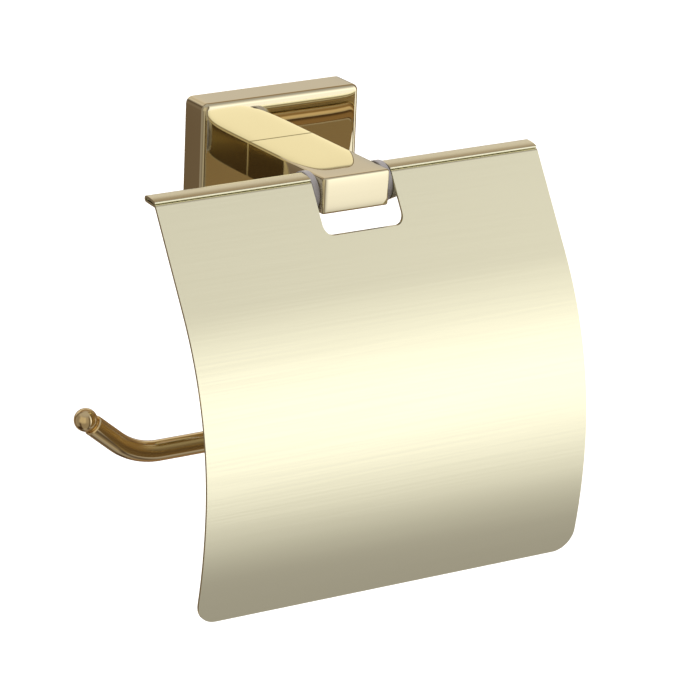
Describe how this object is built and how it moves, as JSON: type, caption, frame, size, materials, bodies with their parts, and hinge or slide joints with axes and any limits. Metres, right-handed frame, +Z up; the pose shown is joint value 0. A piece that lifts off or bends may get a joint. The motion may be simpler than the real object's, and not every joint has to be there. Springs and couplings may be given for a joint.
{
  "type": "toilet paper holder",
  "caption": "Wall-mounted toilet paper holder: rectangular rosette and bar arm, bent roll rod with a ball end, and a curved hinged cover over the roll.",
  "frame": {"origin": "middle of the wall plate's back face, on the arm's centre line, in the plane of the wall", "axes": "+Y into the wall, +X to the right as seen by a person facing the wall, +Z up"},
  "size_m": [0.1586, 0.0841, 0.1366],
  "materials": {
    "gold_polish": "mirror polished, pale gold plated",
    "gold_rod": "polished round bar, pale gold plated",
    "gold_sheet": "polished sheet, pale gold plated",
    "grey_nylon": "moulded, semi-matt",
    "zinc_steel": "zinc plated",
    "steel_screw": "bright, turned"
  },
  "bodies": {
    "holder": {"wall_plate": "zinc_steel", "rosette_cover": "gold_polish", "rosette_set_screw": "steel_screw", "arm_screws": "steel_screw", "arm": "gold_polish", "hinge_washer_left": "grey_nylon", "hinge_washer_right": "grey_nylon", "hinge_screw": "gold_polish", "rod_set_screw": "steel_screw", "roll_rod": "gold_rod", "rod_tip_ball": "gold_rod"},
    "cover": {"cover_flap": "gold_sheet"}
  },
  "joints": [
    {"name": "cover_hinge", "type": "hinge", "parent": "holder", "child": "cover", "pos_m": [0, -0.0454, -0.0006], "axis": [-1, 0, 0], "range_deg": [-24, 95]}
  ]
}
